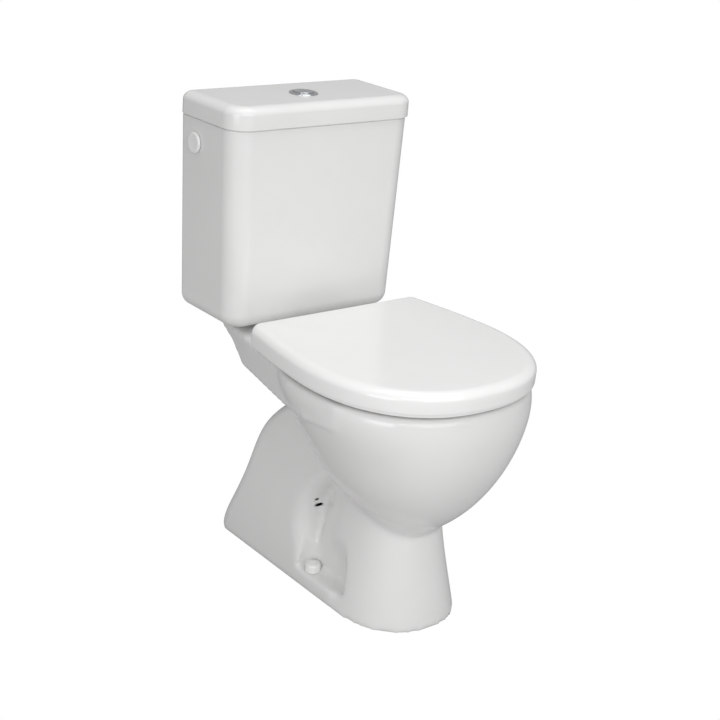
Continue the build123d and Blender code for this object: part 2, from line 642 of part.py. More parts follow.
# flush buttons
BUTTON_Y = from_wall(BUTTON_DEPTH)
keep("button_bezel", make_bezel())
keep("bezel_nut", hexagon(52, 761, 771.9, 0, BUTTON_Y) - upright(BEZEL_NECK_R + 0.1, 750, 780, 0, BUTTON_Y))
keep("full_flush_button", make_button("full_flush_button", -3.7, 20))
keep("half_flush_button", make_button("half_flush_button", -20, -4.3))
for name, offset in ROD_OFFSETS.items():
    spring = coil(4.3, 0.5, BEZEL_FLOOR_Z + 2.6, BUTTON_TOP_Z - 9.1, 5, 0, BUTTON_Y + offset)
    keep(name.replace("button", "spring"), spring)

# fill valve and the two side inlets
INLET_Y = from_wall(INLET_DEPTH)
keep("fill_valve_body", make_fill_body())
keep("fill_valve_cap", upright(16, 722, 728, FILL_X, INLET_Y))
keep("fill_valve_washer", along_x(17, 165, 168.6, INLET_Y, INLET_Z)
     - along_x(INLET_THREAD_R + 0.05, 160, 175, INLET_Y, INLET_Z))
nut_face = Plane(origin=(179.7, INLET_Y, INLET_Z), z_dir=(1, 0, 0)) * RegularPolygon(15, 6, major_radius=False)
inlet_nut = extrude(nut_face, amount=8)
keep("inlet_nut", inlet_nut - along_x(INLET_THREAD_R + 0.05, 170, 200, INLET_Y, INLET_Z))
keep("float_cup", make_float())
keep("float_lever", make_lever())
keep("float_lever_pin", pivot_rod(PIVOT_R, 7.4))
plug = along_x(17.5, -184.5, -180, INLET_Y, INLET_Z) + along_x(10.4, -181, -158, INLET_Y, INLET_Z)
plug = fillet(plug.faces().sort_by(Axis.X)[0].edges(), 2.5)
keep("inlet_plug", plug)
keep("inlet_plug_nut", along_x(16, -167.8, -160, INLET_Y, INLET_Z)
     - along_x(10.45, -180, -150, INLET_Y, INLET_Z))

# seat, cover and hinges
keep("seat_ring", make_seat_ring())
keep("seat_cover", make_seat_cover())
ring_buffers = []
cover_buffers = []
for x, depth in ((150, 480), (150, 290)):
    place = Pos(x, from_wall(depth), 0)
    ring_buffers += pair(place * box_between((-6, -14, 400.2), (6, 14, RING_Z)))
for x, depth in ((118, 540), (150, 300)):
    cover_buffers += pair(upright(6, RING_TOP_Z + 0.2, COVER_CEILING_Z, x, from_wall(depth)))
keep("ring_buffers", *ring_buffers)
keep("cover_buffers", *cover_buffers)
HINGE_Y = from_wall(HINGE_DEPTH)
keep("hinge_posts", *pair(make_hinge_post()))
keep("hinge_pins", *pair(make_hinge_pin()))
keep("hinge_gaskets", *pair(tube(15, HINGE_BOLT_R + 0.5, RIM_Z, 402, HINGE_X, HINGE_Y)))
hinge_bolt = upright(HINGE_BOLT_R, 345, 404, HINGE_X, HINGE_Y)
hinge_bolt += upright(HINGE_HEAD_R, 402.1, 407, HINGE_X, HINGE_Y)
keep("hinge_bolts", *pair(hinge_bolt))
cone = Pos(HINGE_X, HINGE_Y, 379) * Cone(8, 12, 14)
cone -= upright(HINGE_BOLT_R + 0.3, 360, 390, HINGE_X, HINGE_Y)
keep("hinge_cone_washers", *pair(cone))
keep("hinge_wing_nuts", *pair(wing_nut(HINGE_BOLT_R + 0.05, 358, HINGE_X, HINGE_Y, turn=90)))

# floor fixings
FIXING_Y = from_wall(FIXING_DEPTH)
bush = upright(7.5, 0.5, 29, FIXING_X, FIXING_Y) + upright(11.5, LUG_Z, LUG_Z + 3, FIXING_X, FIXING_Y)
keep("fixing_bushes", *pair(bush - upright(4.0, -1, 40, FIXING_X, FIXING_Y)))
cap = upright(13, LUG_Z, LUG_Z + 15, FIXING_X, FIXING_Y)
cap = fillet(cap.faces().sort_by(Axis.Z)[-1].edges(), 5)
keep("fixing_caps", *pair(cap - upright(11.6, LUG_Z - 1, LUG_Z + 12, FIXING_X, FIXING_Y)))

os.makedirs("parts", exist_ok=True)
for name, shape in parts.items():
    export_step(shape, f"parts/{name}.step")
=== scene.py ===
"""Close coupled toilet: the looks of each piece, in the order a fitter puts the toilet together.

Metres. +Z is up, the front of the pan faces -Y and the wall is at +Y.
"""
import bpy
import bmesh
from math import cos, pi, radians, sin
from mathutils import Matrix, Vector, kdtree


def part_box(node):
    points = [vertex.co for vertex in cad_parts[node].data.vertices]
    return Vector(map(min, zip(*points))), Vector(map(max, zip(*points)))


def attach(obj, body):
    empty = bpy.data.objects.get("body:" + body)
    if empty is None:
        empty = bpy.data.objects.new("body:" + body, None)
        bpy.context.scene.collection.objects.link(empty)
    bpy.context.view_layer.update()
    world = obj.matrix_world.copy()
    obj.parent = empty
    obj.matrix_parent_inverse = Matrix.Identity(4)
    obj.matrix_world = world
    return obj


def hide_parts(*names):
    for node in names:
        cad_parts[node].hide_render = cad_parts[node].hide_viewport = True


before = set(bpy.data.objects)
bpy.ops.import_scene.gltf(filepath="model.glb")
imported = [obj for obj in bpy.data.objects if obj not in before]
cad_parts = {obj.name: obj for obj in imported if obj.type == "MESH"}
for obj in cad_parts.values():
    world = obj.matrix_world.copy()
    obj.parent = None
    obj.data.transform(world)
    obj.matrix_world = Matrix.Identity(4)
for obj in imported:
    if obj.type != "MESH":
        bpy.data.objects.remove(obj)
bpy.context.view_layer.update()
MM = 0.001

# ------------------------------------------------------------------ studio
# A white studio sweep: floor and surround look pure white but light the china only dimly.
# Broad soft lights stand in front, above and at the left. A narrow strip and two small panes draw
# the glints along the rolled edges.
VIEW_AZIMUTH = radians(-37.84)
VIEW_ELEVATION = radians(18.46)
VIEW_ROLL = radians(4.15)
VIEW_DISTANCE = 2.762
AIM = Vector((0.1555, 0.205, 0.3748))
LENS_MM = 75.13
SHIFT = (0.0433, -0.0883)
FLOOR_SIZE = 60.0
FLOOR_DROP = 0.5 * MM


def linear(code):
    """Linear colour of an sRGB hex code."""
    channels = [int(code[i:i + 2], 16) / 255 for i in (1, 3, 5)]
    return [c / 12.92 if c <= 0.04045 else ((c + 0.055) / 1.055) ** 2.4 for c in channels] + [1.0]


def add(tree, kind, settings=None, links=None):
    """A node with its settings, by input or by property, and the sockets linked to its inputs."""
    node = tree.nodes.new(kind)
    for key, value in (settings or {}).items():
        if isinstance(key, int) or key in node.inputs:
            node.inputs[key].default_value = value
        else:
            setattr(node, key, value)
    for key, socket in (links or {}).items():
        tree.links.new(socket, node.inputs[key])
    return node


def light(name, place, target, size, power, shade):
    """Rectangular soft light that faces a target."""
    bpy.ops.object.light_add(type="AREA", location=place)
    lamp = bpy.context.object
    lamp.name = name
    lamp.data.shape = "RECTANGLE"
    lamp.data.size, lamp.data.size_y = size
    lamp.data.energy = power
    lamp.data.color = linear(shade)[:3]
    lamp.rotation_euler = (Vector(target) - Vector(place)).to_track_quat("-Z", "Y").to_euler()


bpy.ops.object.select_all(action="DESELECT")
turn = Matrix.Rotation(VIEW_AZIMUTH, 4, "Z") @ Matrix.Rotation(pi / 2 - VIEW_ELEVATION, 4, "X")
turn = turn @ Matrix.Rotation(VIEW_ROLL, 4, "Z")
bpy.ops.object.camera_add()
camera = bpy.context.object
camera.name = "camera"
camera.matrix_world = Matrix.Translation(AIM + turn.to_3x3() @ Vector((0, 0, VIEW_DISTANCE))) @ turn
camera.data.lens = LENS_MM
camera.data.shift_x, camera.data.shift_y = SHIFT
bpy.context.scene.camera = camera
bpy.context.scene.view_settings.view_transform = "Standard"

world = bpy.data.worlds.new("white_surround")
bpy.context.scene.world = world
world.use_nodes = True
air = world.node_tree
air.nodes.clear()
rays = add(air, "ShaderNodeLightPath")
glow = add(air, "ShaderNodeBackground", {"Color": linear("#FFFFFF"), "Strength": 0.43})
backdrop = add(air, "ShaderNodeBackground", {"Color": linear("#FFFFFF"), "Strength": 1.0})
seen = add(air, "ShaderNodeMixShader", None, {0: rays.outputs["Is Camera Ray"], 1: glow.outputs[0],
                                              2: backdrop.outputs[0]})
add(air, "ShaderNodeOutputWorld", None, {"Surface": seen.outputs[0]})

light("front_softbox", (-0.2, -2.8, 1.7), (0, 0, 0.4), (2.4, 2.0), 28, "#FFFFFF")
light("top_softbox", (0.1, -0.3, 2.6), (0, 0, 0.5), (1.8, 1.4), 17, "#FFFFFF")
light("left_fill", (-2.8, -1.5, 0.75), (0, 0, 0.4), (1.6, 1.3), 21, "#FFFFFF")
light("left_strip", (-1.5, -2.0, 1.6), (0, 0, 0.3), (0.16, 0.7), 2.4, "#FFFFFF")
light("window_pair_left", (-1.0, -2.3, 2.1), (0, 0, 0.6), (0.14, 0.22), 1.2, "#FFFFFF")
light("window_pair_right", (-0.65, -2.4, 2.1), (0, 0, 0.6), (0.14, 0.22), 1.2, "#FFFFFF")

bpy.ops.mesh.primitive_plane_add(size=FLOOR_SIZE, location=(0, 0, -FLOOR_DROP))
floor = bpy.context.object
floor.name = "floor"
paper = bpy.data.materials.new("white_paper_sweep")
paper.use_nodes = True
paper.node_tree.nodes.clear()
matt_paper = add(paper.node_tree, "ShaderNodeBsdfPrincipled",
                 {"Base Color": linear("#BABABA"), "Roughness": 0.9})
looked_at = add(paper.node_tree, "ShaderNodeLightPath").outputs["Is Camera Ray"]
whiteness = add(paper.node_tree, "ShaderNodeEmission", {"Color": linear("#FFFFFF"), "Strength": 1.0})
shown = add(paper.node_tree, "ShaderNodeMixShader", None,
            {0: looked_at, 1: matt_paper.outputs[0], 2: whiteness.outputs[0]})
add(paper.node_tree, "ShaderNodeOutputMaterial", None, {"Surface": shown.outputs[0]})
floor.data.materials.append(paper)

# ------------------------------------------------------------------ pan
# One casting of vitreous china, slip-cast in plaster, so every inside corner is a soft fillet.
# It is dipped in opaque white glaze and fired; only the sole stands unglazed on the floor.
PAN_VOXEL = 4.4 * MM
PAN_SMOOTHING = 7
SOLE_HEIGHT = 1.5 * MM


def grained(name, shades, patch_mm, gloss, grain_mm, grain_depth_mm, shader):
    """Surface whose colour and gloss drift in soft patches, with a finer grain raised in its bump."""
    material = bpy.data.materials.new(name)
    material.use_nodes = True
    tree = material.node_tree
    tree.nodes.clear()
    place = add(tree, "ShaderNodeTexCoord").outputs["Object"]
    patches = add(tree, "ShaderNodeTexNoise", {"Scale": 1 / (patch_mm * MM), "Detail": 3.0},
                  {"Vector": place})
    grain = add(tree, "ShaderNodeTexNoise", {"Scale": 1 / (grain_mm * MM), "Detail": 2.0},
                {"Vector": place})
    colour = add(tree, "ShaderNodeMix", {"data_type": "RGBA", 6: linear(shades[0]), 7: linear(shades[1])},
                 {0: patches.outputs[0]})
    rough = add(tree, "ShaderNodeMapRange", {"To Min": gloss[0], "To Max": gloss[1]},
                {"Value": patches.outputs[0]})
    bump = add(tree, "ShaderNodeBump", {"Strength": 0.6, "Distance": grain_depth_mm * MM},
               {"Height": grain.outputs[0]})
    body = add(tree, "ShaderNodeBsdfPrincipled", shader,
               {"Base Color": colour.outputs[2], "Roughness": rough.outputs[0], "Normal": bump.outputs[0]})
    add(tree, "ShaderNodeOutputMaterial", None, {"Surface": body.outputs[0]})
    return material


# Glazed vitreous china: a thick clear-edged gloss whose reflections swim a little, since the glaze
# settles in waves about 20 mm long and a few hundredths deep.
glazed_china = grained("glazed_vitreous_china", ("#E7E7E6", "#EDEDEC"), 90, (0.09, 0.14), 22, 0.05,
                       {"IOR": 1.52})

# Bare china sole: the fired clay without glaze, chalky and a shade warmer.
bare_china = grained("unglazed_china_sole", ("#DAD5CB", "#E4E0D8"), 14, (0.70, 0.85), 0.8, 0.08,
                     {"IOR": 1.5})


def alone(piece):
    """Makes a piece the only one selected, and the active one."""
    bpy.ops.object.select_all(action="DESELECT")
    piece.select_set(True)
    bpy.context.view_layer.objects.active = piece


def modify(piece, kind, **settings):
    """Adds a modifier with its settings and applies it."""
    alone(piece)
    modifier = piece.modifiers.new(kind.lower(), kind)
    for key, value in settings.items():
        setattr(modifier, key, value)
    bpy.ops.object.modifier_apply(modifier=modifier.name)


def place_piece(piece, material, body, slot, *nodes):
    """Gives a finished piece its material and its body, and hides the nodes that it stands for. The slot is
    not used.
    """
    piece.data.materials.clear()
    piece.data.materials.append(material)
    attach(piece, body)
    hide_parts(*nodes)


alone(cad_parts["pan"])
bpy.ops.object.duplicate()
pan = bpy.context.object
pan.parent = None
pan.name = "glazed_pan"
for key in [key for key in pan.keys() if key.startswith("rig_")]:
    del pan[key]
bpy.ops.object.mode_set(mode="EDIT")
bpy.ops.mesh.select_all(action="SELECT")
bpy.ops.mesh.remove_doubles(threshold=0.01 * MM)
bpy.ops.object.mode_set(mode="OBJECT")
modify(pan, "REMESH", mode="VOXEL", voxel_size=PAN_VOXEL, use_smooth_shade=True)
modify(pan, "SMOOTH", factor=0.5, iterations=PAN_SMOOTHING)
alone(pan)
bpy.ops.object.shade_smooth()
place_piece(pan, glazed_china, "pan_and_cistern", "glazed_china", "pan")
pan.data.materials.append(bare_china)
for face in pan.data.polygons:
    if face.center.z < SOLE_HEIGHT and face.normal.z < -0.7:
        face.material_index = 1

# ------------------------------------------------------------------ floor fixings
# A nylon bush lines the hole through each lug of the foot. Its screw is covered by a moulded
# cap with a smooth domed top, snapped over the bush's flange.
CAP_R = 13 * MM
CAP_WALL = 1.4 * MM
CAP_HEIGHT = 15 * MM
CAP_DOME = 4.5 * MM
CAP_EDGE = 4 * MM
TURNED_STEPS = 48
ARC_STEPS = 7

# Injection-moulded nylon: milky, with the faint haze of a satin mould.
white_nylon = grained("moulded_white_nylon", ("#DEDDD6", "#E6E5DF"), 30, (0.40, 0.52), 1.2, 0.03,
                      {"IOR": 1.53})

# High-gloss ABS from a polished mould: whiter than the china and sharper in its glints.
white_abs = grained("polished_white_abs", ("#F0F0EF", "#F6F6F5"), 25, (0.05, 0.09), 6, 0.02,
                    {"IOR": 1.53})


def arc(centre, radius, start, end, steps=ARC_STEPS):
    """Points along an arc in a profile plane, its angles in degrees."""
    angles = [radians(start + (end - start) * step / steps) for step in range(steps + 1)]
    return [(centre[0] + radius[0] * cos(a), centre[1] + radius[1] * sin(a)) for a in angles]


def raise_rings(name, rings, closed=False):
    """Draws a circle on the first ring of points and extrudes it from ring to ring.

    The two ends are capped, or bridged to each other where the piece is closed on itself."""
    bpy.ops.object.select_all(action="DESELECT")
    bpy.ops.mesh.primitive_circle_add(vertices=len(rings[0]))
    piece = bpy.context.object
    piece.name = name
    bpy.ops.object.mode_set(mode="EDIT")
    mesh = bmesh.from_edit_mesh(piece.data)
    for vertex, spot in zip(mesh.verts, rings[0]):
        vertex.co = spot
    for last, ring in zip(rings, rings[1:]):
        bpy.ops.mesh.extrude_region()
        mesh = bmesh.from_edit_mesh(piece.data)
        finder = kdtree.KDTree(len(last))
        for index, spot in enumerate(last):
            finder.insert(spot, index)
        finder.balance()
        for vertex in mesh.verts:
            if vertex.select:
                vertex.co = ring[finder.find(vertex.co)[1]]
    bmesh.update_edit_mesh(piece.data)
    bpy.ops.mesh.select_all(action="DESELECT")
    bpy.ops.mesh.select_mode(type="EDGE")
    bpy.ops.mesh.select_non_manifold()
    if closed:
        bpy.ops.mesh.bridge_edge_loops()
    else:
        bpy.ops.mesh.fill_holes(sides=0)
    bpy.ops.mesh.select_all(action="SELECT")
    bpy.ops.mesh.normals_make_consistent(inside=False)
    bpy.ops.object.mode_set(mode="OBJECT")
    return piece


def soften(piece, angle=35):
    """Smooth shading that keeps true edges crisp and flat faces flat."""
    alone(piece)
    bpy.ops.object.shade_smooth_by_angle(angle=radians(angle))
    modify(piece, "WEIGHTED_NORMAL", keep_sharp=True)


def turned(name, profile, centre, along="Z", closed=False):
    """Round piece whose profile is (radius, place along its axis), in metres."""
    rings = []
    for radius, travel in profile:
        ring = []
        for step in range(TURNED_STEPS):
            angle = 2 * pi * step / TURNED_STEPS
            across = (radius * cos(angle), radius * sin(angle))
            ring.append(Vector((*across, travel)) if along == "Z" else Vector((travel, *across)))
        rings.append([spot + Vector(centre) for spot in ring])
    return raise_rings(name, rings, closed)


def centre_of(node):
    """Middle of a CAD node's box."""
    low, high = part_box(node)
    return (low + high) / 2


cap_low, cap_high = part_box("fixing_caps")
for side, label in ((-1, "left"), (1, "right")):
    spot = (side * (cap_high.x - CAP_R), (cap_low.y + cap_high.y) / 2, cap_low.z)
    shell = [(CAP_R - CAP_WALL - 3 * MM, CAP_HEIGHT - 2.8 * MM), (CAP_R - CAP_WALL, CAP_HEIGHT - 5 * MM),
             (CAP_R - CAP_WALL, 0), (CAP_R, 0)]
    shell += arc((CAP_R - CAP_EDGE, CAP_HEIGHT - CAP_DOME), (CAP_EDGE, CAP_DOME - 0.8 * MM), 0, 80)
    shell += [(CAP_R * 0.4, CAP_HEIGHT - 0.15 * MM), (CAP_R * 0.1, CAP_HEIGHT)]
    cap = turned(f"fixing_cap_{label}", shell, spot)
    soften(cap)
    place_piece(cap, white_abs, "pan_and_cistern", "white_gloss_cap", "fixing_caps")
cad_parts["fixing_bushes"].data.materials.clear()
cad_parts["fixing_bushes"].data.materials.append(white_nylon)

# ------------------------------------------------------------------ coupling
# The cistern sits on a thick sponge-rubber ring round the flush valve's thread and on two flat
# pads. Two plated bolts, sealed by rubber washers inside, pull it down from under the shelf.

# Sulphur-cured EPDM: dull black with a fine pored skin.
black_rubber = grained("black_epdm_rubber", ("#161616", "#232324"), 12, (0.62, 0.78), 0.9, 0.10,
                       {"IOR": 1.5})

# Zinc-plated steel: greyish bright metal with the fine drag marks of rolling.
zinc_steel = grained("zinc_plated_steel", ("#A7A9AA", "#BBBDBE"), 5, (0.22, 0.36), 0.5, 0.02,
                     {"Metallic": 1.0})


def dress(material, *nodes):
    """Gives carried-over nodes their material."""
    for node in nodes:
        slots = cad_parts[node].data.materials
        slots.clear()
        slots.append(material)


dress(black_rubber, "coupling_gasket", "coupling_bolt_seals", "coupling_pads")
dress(zinc_steel, "coupling_bolts", "coupling_washers")
dress(white_nylon, "coupling_wing_nuts", "valve_back_nut")

# ------------------------------------------------------------------ cistern
# A china tank cast in the same slip as the pan, drafted so that it is narrower at the foot. Its
# upright corners and bottom edge are rolled, and its mouth is a ground rim under the lid.
WALL_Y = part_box("cistern")[1].y
TANK_TOP_HALF = 180 * MM
TANK_BOTTOM_HALF = 168 * MM
TANK_DEPTH = 166 * MM
TANK_LOW = 410 * MM
TANK_HIGH = 741 * MM
TANK_WALL = 9 * MM
TANK_FLOOR = 10 * MM
TANK_FRONT_CORNER = 36 * MM
TANK_REAR_CORNER = 16 * MM
TANK_FOOT_ROUND = 22 * MM
TANK_INNER_ROUND = 12 * MM
MOUTH_ROUND = 1.6 * MM
EDGE_BEND = 0.3              # where the middle ring of a small rounded edge lies, as a share of its round
CORNER_STEPS = 12
VALVE_HOLE_R = 31 * MM
BOLT_HOLE_R = 5.5 * MM
INLET_HOLE_R = 11.5 * MM
SCREW_HOLE_R = 4.5 * MM
FLOOR_BIT = 60 * MM
SIDE_BIT = 420 * MM
BACK_BIT = 40 * MM
BOLT_HEAD_R = 7.5 * MM


def rounded_ring(z, half_width, near, far, front_corner, rear_corner):
    """Level rectangle between two depths from the wall, each corner an arc."""
    corners = [(half_width, near, rear_corner), (half_width, far, front_corner),
               (-half_width, far, front_corner), (-half_width, near, rear_corner)]
    spots = [Vector((x, WALL_Y - depth)) for x, depth, _ in corners]
    ring = []
    for index, (_, _, radius) in enumerate(corners):
        here = spots[index]
        back = (spots[index - 1] - here).normalized()
        ahead = (spots[(index + 1) % len(spots)] - here).normalized()
        middle = here + (back + ahead) * radius
        for step in range(CORNER_STEPS + 1):
            angle = pi / 2 * step / CORNER_STEPS
            ring.append(middle - ahead * radius * cos(angle) - back * radius * sin(angle))
    return [Vector((spot.x, spot.y, z)) for spot in ring]


def tank_ring(z, inset):
    """The tank's outline at a height, moved inwards."""
    share = (z - TANK_LOW) / (TANK_HIGH - TANK_LOW)
    half = TANK_BOTTOM_HALF + (TANK_TOP_HALF - TANK_BOTTOM_HALF) * share
    return rounded_ring(z, half - inset, inset, TANK_DEPTH - inset,
                        max(TANK_FRONT_CORNER - inset, 4 * MM), max(TANK_REAR_CORNER - inset, 2 * MM))


def drill(piece, *holes):
    """Cuts round holes given as (radius, length, place, turn about X, turn about Y)."""
    for radius, length, place, turn_x, turn_y in holes:
        bpy.ops.object.select_all(action="DESELECT")
        bpy.ops.mesh.primitive_cylinder_add(vertices=TURNED_STEPS, radius=radius, depth=length,
                                            location=place, rotation=(radians(turn_x), radians(turn_y), 0))
        bit = bpy.context.object
        modify(piece, "BOOLEAN", operation="DIFFERENCE", object=bit, solver="EXACT")
        bpy.data.objects.remove(bit)


tank_rings = [tank_ring(TANK_LOW + TANK_FLOOR, TANK_WALL + TANK_INNER_ROUND)]
inner = arc((TANK_WALL + TANK_INNER_ROUND, TANK_LOW + TANK_FLOOR + TANK_INNER_ROUND),
            (TANK_INNER_ROUND, TANK_INNER_ROUND), 270, 180)
tank_rings += [tank_ring(z, inset) for inset, z in inner[1:]]
tank_rings += [tank_ring(TANK_HIGH - MOUTH_ROUND, TANK_WALL)]
tank_rings += [tank_ring(TANK_HIGH, TANK_WALL - MOUTH_ROUND), tank_ring(TANK_HIGH, MOUTH_ROUND)]
tank_rings += [tank_ring(TANK_HIGH - MOUTH_ROUND * bend, MOUTH_ROUND * inset)
               for bend, inset in ((EDGE_BEND, EDGE_BEND), (1, 0))]
outer = arc((TANK_FOOT_ROUND, TANK_LOW + TANK_FOOT_ROUND), (TANK_FOOT_ROUND, TANK_FOOT_ROUND), 180, 270)
tank_rings += [tank_ring(z, inset) for inset, z in outer]
tank = raise_rings("glazed_cistern", tank_rings)
VALVE_Y = centre_of("coupling_gasket").y
INLET_Y, INLET_Z = centre_of("inlet_plug").yz
BOLT_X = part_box("coupling_bolts")[1].x - BOLT_HEAD_R
SCREW_X = 110 * MM
SCREW_Z = 660 * MM
drill(tank, (VALVE_HOLE_R, FLOOR_BIT, (0, VALVE_Y, TANK_LOW), 0, 0),
      (BOLT_HOLE_R, FLOOR_BIT, (BOLT_X, VALVE_Y, TANK_LOW), 0, 0),
      (BOLT_HOLE_R, FLOOR_BIT, (-BOLT_X, VALVE_Y, TANK_LOW), 0, 0),
      (INLET_HOLE_R, SIDE_BIT, (0, INLET_Y, INLET_Z), 0, 90),
      (SCREW_HOLE_R, BACK_BIT, (SCREW_X, WALL_Y, SCREW_Z), 90, 0),
      (SCREW_HOLE_R, BACK_BIT, (-SCREW_X, WALL_Y, SCREW_Z), 90, 0))
soften(tank)
place_piece(tank, glazed_china, "pan_and_cistern", "glazed_china", "cistern")

# ------------------------------------------------------------------ flush valve
# A moulded drop-in valve: a threaded base clamped through the tank's floor, a guide cage, and a
# lift tube that carries the soft seal and serves as the overflow.

# Tinted polypropylene: blue-grey, waxy, with the soft bloom of a textured mould.
blue_grey_pp = grained("tinted_polypropylene", ("#5A6C7C", "#66798A"), 25, (0.38, 0.50), 1.0, 0.03,
                       {"IOR": 1.49})

# Platinum-cured silicone: translucent grey-white with a faint tack sheen.
silicone = grained("silicone_rubber", ("#C9C8C3", "#D6D5D0"), 10, (0.34, 0.44), 2.0, 0.03,
                   {"IOR": 1.43, "Subsurface Weight": 0.15})

dress(white_nylon, "flush_valve_base", "flush_valve_cage")
dress(black_rubber, "flush_valve_washer")
dress(blue_grey_pp, "lift_tube")
dress(silicone, "lift_tube_seal")

# ------------------------------------------------------------------ fill valve and side inlets
# A side-entry float valve screwed through the right wall. A polished plug with a domed head
# blanks the unused inlet on the left.
PLUG_R = 17.5 * MM
PLUG_SHANK_R = 10.4 * MM
PLUG_ROLL = (2.2 * MM, 2.0 * MM)

dress(white_nylon, "fill_valve_body", "inlet_nut", "float_lever", "inlet_plug_nut")
dress(blue_grey_pp, "fill_valve_cap", "float_cup")
dress(black_rubber, "fill_valve_washer")
dress(zinc_steel, "float_lever_pin")

plug_low, plug_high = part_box("inlet_plug")
plug_profile = [(PLUG_R * 0.12, plug_low.x + 0.9 * MM), (PLUG_R * 0.45, plug_low.x + 0.6 * MM),
                (PLUG_R * 0.72, plug_low.x + 0.1 * MM), (PLUG_R * 0.84, plug_low.x + 0.2 * MM)]
plug_profile += [(PLUG_R - PLUG_ROLL[0] + PLUG_ROLL[0] * sin(radians(turn_by)),
                  plug_low.x + 2.4 * MM - PLUG_ROLL[1] * cos(radians(turn_by)))
                 for turn_by in (15, 35, 55, 75, 90)]
plug_profile += [(PLUG_R, plug_low.x + 4.3 * MM), (PLUG_R - 0.6 * MM, plug_low.x + 4.5 * MM),
                 (PLUG_SHANK_R, plug_low.x + 4.5 * MM), (PLUG_SHANK_R, plug_high.x - 0.8 * MM),
                 (9.6 * MM, plug_high.x), (3 * MM, plug_high.x)]
plug = turned("inlet_blanking_plug", plug_profile, (0, INLET_Y, INLET_Z), along="X")
soften(plug)
place_piece(plug, white_abs, "pan_and_cistern", "white_gloss_cap", "inlet_plug")

# ------------------------------------------------------------------ lid
# A lift-off china slab with rolled top edges, hollow underneath, with a lip that drops into the
# tank's mouth. It hangs past the tank's walls at the front and sides, over a fine shadow gap.
LID_HALF = 183 * MM
LID_DEPTH = 170 * MM
LID_LOW = 741 * MM
LID_HIGH = 780 * MM
LID_ROLL = (18 * MM, 14 * MM)
LID_FOOT = 1.4 * MM
LID_SEAM = 1.8 * MM
LID_SEAT = 5.5 * MM
LID_CORNERS = (38 * MM, 20 * MM)
LID_HOLE_R = 20 * MM
LIP_GAP = 11.5 * MM
LIP_CORNERS = (26 * MM, 10 * MM)


def lid_ring(z, inset):
    """The lid's outline at a height, moved inwards."""
    return rounded_ring(z, LID_HALF - inset, inset, LID_DEPTH - inset, max(LID_CORNERS[0] - inset, 6 * MM),
                        max(LID_CORNERS[1] - inset, 4 * MM))


def lip_ring(z, inset):
    """The lip's outline at a height: the tank's mouth less a clearance, moved inwards."""
    gap = LIP_GAP + inset
    return rounded_ring(z, TANK_TOP_HALF - gap, gap, TANK_DEPTH - gap,
                        LIP_CORNERS[0] - inset, LIP_CORNERS[1] - inset / 2)


lid_rings = [lid_ring(LID_HIGH - 8 * MM, 16 * MM), lid_ring(LID_HIGH - 11 * MM, 12 * MM),
             lid_ring(LID_LOW + 5 * MM, 12 * MM)]
lid_rings += [lip_ring(LID_LOW + rise * MM, inset * MM)
              for rise, inset in ((4, 7), (-6, 7), (-7, 6), (-7, 1), (-6, 0), (0, 0))]
lid_rings += [lid_ring(LID_LOW, LID_SEAT), lid_ring(LID_LOW + LID_SEAM, LID_SEAT - 0.4 * MM)]
lid_rings += [lid_ring(LID_LOW + LID_SEAM + LID_FOOT * bend, LID_FOOT * inset)
              for bend, inset in ((0, 1), (EDGE_BEND, EDGE_BEND), (1, 0))]
roll = arc((LID_ROLL[0], LID_HIGH - LID_ROLL[1]), LID_ROLL, 180, 90, 10)
lid_rings += [lid_ring(z, inset) for inset, z in roll]
lid = raise_rings("glazed_lid", lid_rings)
BUTTON_Y = centre_of("button_bezel").y
drill(lid, (LID_HOLE_R, 2 * (LID_HIGH - LID_LOW) + 2 * MM, (0, BUTTON_Y, LID_HIGH), 0, 0))
soften(lid)
place_piece(lid, glazed_china, "lid", "glazed_china", "cistern_lid")

# ------------------------------------------------------------------ flush buttons
# A chromed cup clamped through the lid by a nylon nut. Two half-round plates, a smaller and a
# larger flush, stand on springs in it.

# Decorative chrome on ABS: a mirror of the room, slightly cool, with a breath of haze.
chrome = grained("bright_chrome_plate", ("#C8CACD", "#D6D8DA"), 15, (0.04, 0.09), 4, 0.01,
                 {"Metallic": 1.0})

bezel_low, bezel_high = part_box("button_bezel")
BEZEL_R = (bezel_high.x - bezel_low.x) / 2
CUP_R = 17.35 * MM
NECK_R = 19.4 * MM
BEZEL_ROLL = (3.4 * MM, 2.1 * MM)
ROD_HOLE_R = 3.1 * MM
cup_profile = [(3 * MM, bezel_low.z + 2.5 * MM), (CUP_R - 1 * MM, bezel_low.z + 2.5 * MM),
               (CUP_R, bezel_low.z + 3.5 * MM), (CUP_R, bezel_high.z - 1.4 * MM),
               (CUP_R + 0.5 * MM, bezel_high.z - 0.5 * MM),
               (CUP_R + 1.6 * MM, bezel_high.z), (CUP_R + 3.2 * MM, bezel_high.z - 0.1 * MM)]
cup_profile += [(BEZEL_R - BEZEL_ROLL[0] + BEZEL_ROLL[0] * sin(radians(turn_by)),
                 bezel_high.z - 2.4 * MM + BEZEL_ROLL[1] * cos(radians(turn_by)))
                for turn_by in (20, 40, 60, 80)]
cup_profile += [(BEZEL_R, bezel_high.z - 2.6 * MM), (BEZEL_R - 0.3 * MM, bezel_high.z - 2.8 * MM),
                (NECK_R, bezel_high.z - 2.8 * MM), (NECK_R, bezel_low.z + 0.6 * MM),
                (18.8 * MM, bezel_low.z), (3 * MM, bezel_low.z)]
cup = turned("chrome_bezel", cup_profile, (0, BUTTON_Y, 0))
for spring in ("full_flush_spring", "half_flush_spring"):
    rod_y = centre_of(spring).y
    drill(cup, (ROD_HOLE_R, 12 * MM, (0, rod_y, bezel_low.z + 1 * MM), 0, 0))
soften(cup)
place_piece(cup, chrome, "lid", "chrome", "button_bezel")
dress(white_nylon, "bezel_nut")
dress(chrome, "full_flush_button", "half_flush_button")
